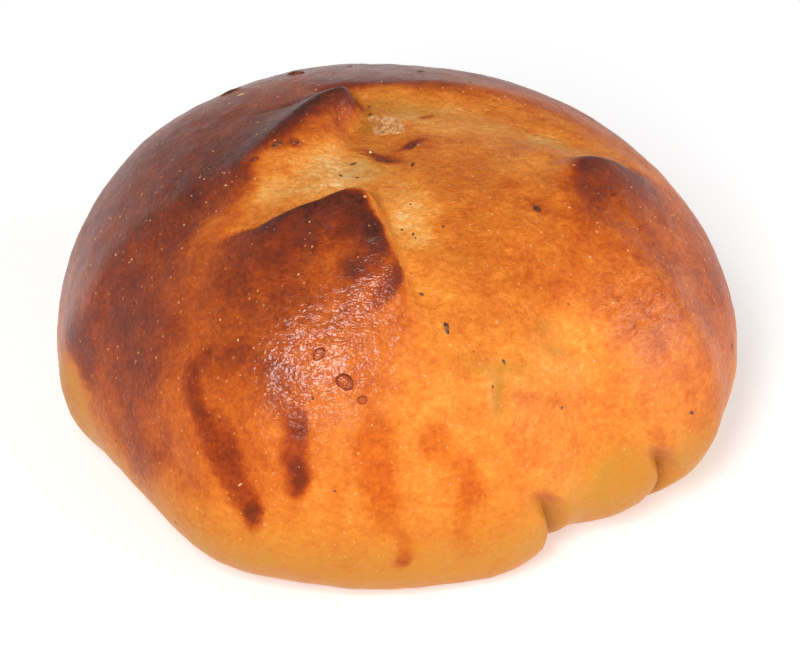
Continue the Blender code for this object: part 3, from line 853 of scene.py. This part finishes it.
def bake_bread():
    """The crust's grid, then rings of the rim drawn in by shares of the radius, closed by a fan."""
    uv, quads, rim = crust_grid(CELLS)
    points = crust(uv)
    foot = points[rim]
    rings = []
    faces = [tuple(quad) for quad in quads.tolist()]
    inner = rim
    for ring in BASE_RINGS:
        lifted = foot * (ring, ring, 0)
        lifted[:, 2] = BASE_HOLLOW_MM * ease((1 - ring) / FULL_HOLLOW)
        outer, inner = inner, len(uv) + len(rings) * len(rim) + np.arange(len(rim))
        rings.append(lifted)
        around = np.stack([np.roll(outer, -1), outer, inner, np.roll(inner, -1)], 1)
        faces += [tuple(face) for face in around.tolist()]
    middle = len(uv) + len(rings) * len(rim)
    fan = zip(np.roll(inner, -1).tolist(), inner.tolist(), [middle] * len(rim))
    faces += list(fan)
    everything = np.concatenate([points, *rings, [(0, 0, BASE_HOLLOW_MM)]])
    mesh = mesh_of("bread", everything, faces)
    below = len(everything) - len(uv)
    places = plain_loaf(uv)[0]
    paint(mesh, "browning_and_painted_shade", np.concatenate([browning_and_painted_shade(uv, places), np.full(below, BASE_BAKE)]))
    wash = np.clip(run_cover(wandered(uv, places)), 0, 1)
    for name, values in (
        ("glaze", thick_glaze(uv)), ("straw", straw(uv)), ("polish", polish(uv)), ("wash", wash),
        ("stretched", stretched(uv)),
    ):
        paint(mesh, name, np.concatenate([values, np.zeros(below)]))
    return mesh


finish = crust_finish()
bread = place_piece("bread", bake_bread(), finish)
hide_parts("bun")

# Blisters: bubbles of egg wash that rose in the oven and sank in the middle again. The darker ring near
# their edge is painted shade.
# Sizes on the map: u, v, half length, half width, heading, and the height in millimetres.
BLISTERS = (
    (-11.9, -44.4, 1.2, 1.0, 20, 0.38), (-7.8, -49.4, 1.7, 1.3, -35, 0.58), (-4.8, -52.5, 1.1, 0.7, 0, 0.2),
    (-14.9, -1.8, 0.8, 0.6, 0, 0.25), (-21.5, -5, 0.8, 0.5, 10, 0.2),
)
BLISTER_BAKE = 0.12
BLISTER_RIM_SHADE = 0.14
BLISTER_GLAZE = 0.3
BLISTER_POLISH = 0.8
BLISTER_RINGS = 10
BLISTER_SPOKES = 28
# How many waves go round the edge of a ragged patch, and their weights.
RAGGED_WAVES = ((2, 0.5), (3, 0.3), (7, 0.2))


def caps(places, rings, spokes, rise, ragged=0.0, seed=0):
    """Round patches over ovals of the map, lifted off the crust along its normal by rise, a function of
    the share of the radius, the angle and the place's number. A ragged patch has its radius swung by
    three waves. Returns the points, the faces, and each point's place on the map, share and number."""
    random = np.random.default_rng(seed)
    places = np.asarray(places, float)
    u, v, half_length, half_width, heading = places[:, :5].T[:, :, None]
    share = np.concatenate([[0], np.repeat(np.arange(1, rings + 1) / rings, spokes)])[None]
    angle = np.concatenate([[0], np.tile(np.arange(spokes) / spokes * 2 * np.pi, rings)])[None]
    swing = sum(
        weight * np.sin(waves * angle + random.uniform(0, 2 * np.pi, u.shape))
        for waves, weight in RAGGED_WAVES
    )
    reach = share * (1 + ragged * swing)
    along = half_length * reach * np.cos(angle)
    across = half_width * reach * np.sin(angle)
    turn = np.radians(heading)
    u = u + along * np.cos(turn) - across * np.sin(turn)
    v = v + along * np.sin(turn) + across * np.cos(turn)
    uv = np.stack([u, v], -1).reshape(-1, 2)
    number = np.repeat(np.arange(len(places)), share.size)
    shares = np.tile(share[0], len(places))
    height = rise(shares, np.tile(angle[0], len(places)), number)
    points = crust(uv) + height[:, None] * plain_loaf(uv)[1]
    first = np.arange(spokes)
    after = np.roll(first, -1)
    fan = np.stack([np.zeros(spokes, int), 1 + first, 1 + after], 1)
    belt = np.stack([first, first + spokes, after + spokes, after], 1) + 1
    belts = np.concatenate([belt + ring * spokes for ring in range(rings - 1)])
    starts = (np.arange(len(places)) * share.size)[:, None, None]
    faces = [tuple(face) for face in (fan + starts).reshape(-1, 3).tolist()]
    faces += [tuple(face) for face in (belts + starts).reshape(-1, 4).tolist()]
    return points, faces, uv, shares, number


def blister_rise(share, angle, number):
    """A low flat cushion with a bell-shaped ring near its rim, set slightly into the crust."""
    height = np.array([place[5] for place in BLISTERS])[number]
    rim = np.exp(-(((share - 0.72) / 0.24) ** 2))
    return height * (0.75 * (1 - share**4) + 0.35 * rim * (1 - share**6)) - 0.05


def raise_blisters():
    points, faces, uv, share, _ = caps(
        BLISTERS, BLISTER_RINGS, BLISTER_SPOKES, blister_rise, ragged=0.12, seed=3
    )
    mesh = mesh_of("blisters", points, faces)
    # A ring of painted shade darkens the bake near each blister's edge.
    rim = np.exp(-(((share - 0.85) / 0.25) ** 2))
    bake = browning_and_painted_shade(uv, plain_loaf(uv)[0]) + BLISTER_BAKE + BLISTER_RIM_SHADE * rim
    paint(mesh, "browning_and_painted_shade", np.clip(bake, 0, 1))
    paint(mesh, "glaze", np.full(len(points), BLISTER_GLAZE))
    paint(mesh, "polish", np.full(len(points), BLISTER_POLISH))
    return mesh


place_piece("blisters", raise_blisters(), finish)

# Raisins: dried grapes kneaded into the dough. Most are inside it, and only these wrinkled tips come out
# through the crust. Sizes as for the blisters.
RAISIN_TIPS = (
    (-15.3, 28.1, 1.2, 1.0, 0, 0.55), (-26, 25.3, 1.8, 0.85, -10, 0.5), (-1, -4, 1.5, 0.5, -28, 0.3),
    (3.6, -0.9, 1.1, 0.4, 36, 0.3), (4.2, -6.7, 0.55, 0.5, 0, 0.3), (23.2, -14.9, 1.1, 0.6, -35, 0.25),
    (10.3, -41.4, 1.0, 0.55, -60, 0.3), (-4.3, -1.9, 0.9, 0.25, -25, 0.2), (-17.5, -2.5, 0.9, 0.6, 20, 0.35),
)
RAISIN_RINGS = 12
RAISIN_SPOKES = 40
RAISIN_ROUGHNESS = 0.42
RAISIN_SPECULAR = 0.4
RAISIN_COLOURS = ((0.3, (0.03, 0.009, 0.006)), (0.48, (0.13, 0.03, 0.01)), (0.62, (0.34, 0.08, 0.015)))


def raisin_rise(share, angle, number):
    """A flattened dome with folds that run in from the rim at uneven angles."""
    height = np.array([place[5] for place in RAISIN_TIPS])[number]
    folds = np.sin(5 * angle + 2 * number + 2 * share) + 0.6 * np.sin(9 * angle - 3 * number)
    dome = np.sqrt(np.maximum(1 - share**2, 0))
    return height * (0.8 * dome + 0.16 * folds * share * (1 - share)) - 0.1


def raisin_finish():
    made, tree, shader = new_material("raisin_skin", RAISIN_ROUGHNESS)
    link_in(tree, shader.inputs["Base Color"], ramp(tree, blots(tree, 0.9, detail=3), RAISIN_COLOURS))
    shader.inputs["Specular IOR Level"].default_value = RAISIN_SPECULAR
    return made


points, faces, *_ = caps(RAISIN_TIPS, RAISIN_RINGS, RAISIN_SPOKES, raisin_rise, ragged=0.45, seed=8)
place_piece("raisin_tips", mesh_of("raisin_tips", points, faces), raisin_finish())

# Beside the nose a scrap of skin tore off and bared the pale crumb, and a few flakes of it lie about.
# The crumb is dry, matt and full of small holes. Sizes as for the blisters.
TORN = ((-0.4, 6.0, 2.6, 2.0, -10, 0.22), (1.5, 4.2, 1.3, 0.9, 40, 0.22), (-2.4, 8.6, 1.1, 0.8, 0, 0.16))
FLAKES = (
    (-8.9, -11.1, 1.1, 0.5, 25, 0.25), (-23.8, 20.7, 0.5, 0.3, 0, 0.2), (-3.2, -1.4, 0.3, 0.2, 0, 0.4),
    (-10.9, -12, 0.4, 0.2, -20, 0.2), (-29.5, -61, 0.45, 0.14, 20, 0.1),
)
TORN_RINGS = 16
TORN_SPOKES = 60
CRUMB_COLOURS = ((0.35, (0.42, 0.15, 0.04)), (0.5, (0.66, 0.31, 0.11)), (0.62, (0.8, 0.45, 0.2)))
CRUMB_ROUGHNESS = 0.75
CRUMB_SPECULAR = 0.2
CRUMB_HOLES_MM = 0.2
FLAKE_RINGS = 4
FLAKE_SPOKES = 16
FLAKE_COLOUR = (0.8, 0.5, 0.22, 1)
FLAKE_ROUGHNESS = 0.6


def torn_rise(share, angle, number):
    """A low plate with a broken edge and a rough top."""
    height = np.array([place[5] for place in TORN])[number]
    rough = np.sin(11 * share + 3 * angle) * np.sin(7 * angle + 5 * share)
    return height * (1 - share**8) * (0.7 + 0.3 * rough) - 0.04


def flake_rise(share, angle, number):
    """A scrap curled up at one side."""
    height = np.array([place[5] for place in FLAKES])[number]
    return height * (0.4 + 0.6 * share * np.cos(angle - number)) * (1 - share**8)


def crumb_finish():
    made, tree, shader = new_material("bare_crumb", CRUMB_ROUGHNESS)
    link_in(tree, shader.inputs["Base Color"], ramp(tree, blots(tree, 0.8, detail=4), CRUMB_COLOURS))
    shader.inputs["Specular IOR Level"].default_value = CRUMB_SPECULAR
    bump(tree, blots(tree, 0.5, detail=3), CRUMB_HOLES_MM, shader.inputs["Normal"])
    return made


points, faces, *_ = caps(TORN, TORN_RINGS, TORN_SPOKES, torn_rise, ragged=0.3, seed=5)
place_piece("torn_crumb", mesh_of("torn_crumb", points, faces), crumb_finish())
flake_paint, _, flake_shader = new_material("flake", FLAKE_ROUGHNESS)
flake_shader.inputs["Base Color"].default_value = FLAKE_COLOUR
points, faces, *_ = caps(FLAKES, FLAKE_RINGS, FLAKE_SPOKES, flake_rise, ragged=0.4, seed=2)
place_piece("flakes", mesh_of("flakes", points, faces), flake_paint)

# Burnt specks and open pores: dark grains on the skin, the larger ones where they show, others anywhere. The
# pores are drawn as small dark caps, whose dark is painted shade standing for the pits.
# Sizes on the map: u, v, half length, half width and heading.
SPECKS = (
    (-6.2, -4.8, 1.1, 0.35, 25), (-8, -8.5, 0.45, 0.35, 0), (-5.1, -8.8, 0.35, 0.3, 0),
    (-3.1, 9.8, 0.45, 0.4, 0), (-2, 6.9, 0.35, 0.3, 0), (-0.2, 4.7, 0.4, 0.25, 20),
    (-3.2, 12, 0.35, 0.3, 0),
    (2.2, -22.9, 0.35, 0.3, 0), (4.2, -23.9, 0.3, 0.45, 0), (4.6, -24.8, 0.3, 0.25, 0),
    (9.4, -22, 0.4, 0.3, 0), (3.7, -17, 0.25, 0.25, 0), (21.4, -45.1, 0.55, 0.4, -30),
    (19.7, -49.4, 0.35, 0.3, 0), (35.7, -49.4, 0.4, 0.35, 0), (61.2, -35, 0.7, 0.5, 40),
    (69, -12, 0.5, 0.7, 0), (-6.6, 31, 0.5, 0.6, 0), (5.2, 26.6, 0.8, 0.7, 0), (13.1, 21.5, 0.4, 0.5, 0),
    (31, -4.5, 0.5, 0.35, -20), (33.5, -6.8, 0.4, 0.4, 0), (-13.5, -51, 0.3, 0.3, 0),
    (-52, -62, 0.6, 0.35, -40), (-11, -66, 0.35, 0.25, 0), (5.7, -36, 0.5, 0.35, 0),
    (-3, -27.5, 0.7, 0.5, 30),
)
STRAY_SPECKS = 110
SPECK_SIZES = (0.1, 0.22)
SPECK_HEIGHT = 0.09
SPECK_SUNK = 0.03
SPECK_RINGS = 3
SPECK_SPOKES = 10
SPECK_AND_PORE_SHADE_COLOUR = (0.12, 0.035, 0.012, 1)
SPECK_ROUGHNESS = 0.6
STRAY_REACH = (4, 84)


def scattered(count, sizes, seed):
    """Places spread evenly over the map in a ring, with half sizes between the two given."""
    random = np.random.default_rng(seed)
    reach = np.sqrt(random.uniform(STRAY_REACH[0] ** 2, STRAY_REACH[1] ** 2, count))
    turn = random.uniform(0, 2 * np.pi, count)
    half_length = random.uniform(*sizes, count)
    half_width = half_length * random.uniform(0.6, 1, count)
    u = reach * np.cos(turn)
    v = reach * np.sin(turn)
    return np.stack([u, v, half_length, half_width, np.degrees(turn)], 1)


def speck_rise(share, angle, number):
    """A low rounded cap: one minus the share squared."""
    return SPECK_HEIGHT * (1 - share**2) - SPECK_SUNK


# Dark caps: burnt specks, and painted shade where the pores are.
speck_and_pore_shade_paint, _, speck_shader = new_material("burnt_speck_and_pore_shade", SPECK_ROUGHNESS)
speck_shader.inputs["Base Color"].default_value = SPECK_AND_PORE_SHADE_COLOUR
places = np.concatenate([SPECKS, scattered(STRAY_SPECKS, SPECK_SIZES, 11)])
points, faces, *_ = caps(places, SPECK_RINGS, SPECK_SPOKES, speck_rise, ragged=0.4, seed=4)
place_piece("specks", mesh_of("specks", points, faces), speck_and_pore_shade_paint)

# Tiny bubbles that the brush left in the egg wash: pale beads scattered all over the skin, which dried
# before they could burst.
BUBBLES = 1200
BUBBLE_SIZES = (0.09, 0.27)
BUBBLE_HEIGHT = 0.09
BUBBLE_SUNK = 0.02
BUBBLE_RINGS = 3
BUBBLE_SPOKES = 8
BUBBLE_COLOUR = (0.66, 0.3, 0.11, 1)
BUBBLE_ROUGHNESS = 0.3
bubble_paint, _, bubble_shader = new_material("bubble_skin", BUBBLE_ROUGHNESS)
bubble_shader.inputs["Base Color"].default_value = BUBBLE_COLOUR


def bubble_rise(share, angle, number):
    """Half a flattened ball: the root of one minus the share squared."""
    return BUBBLE_HEIGHT * np.sqrt(1 - share**2) - BUBBLE_SUNK


places = scattered(BUBBLES, BUBBLE_SIZES, 17)
points, faces, *_ = caps(places, BUBBLE_RINGS, BUBBLE_SPOKES, bubble_rise)
place_piece("bubbles", mesh_of("bubbles", points, faces), bubble_paint)
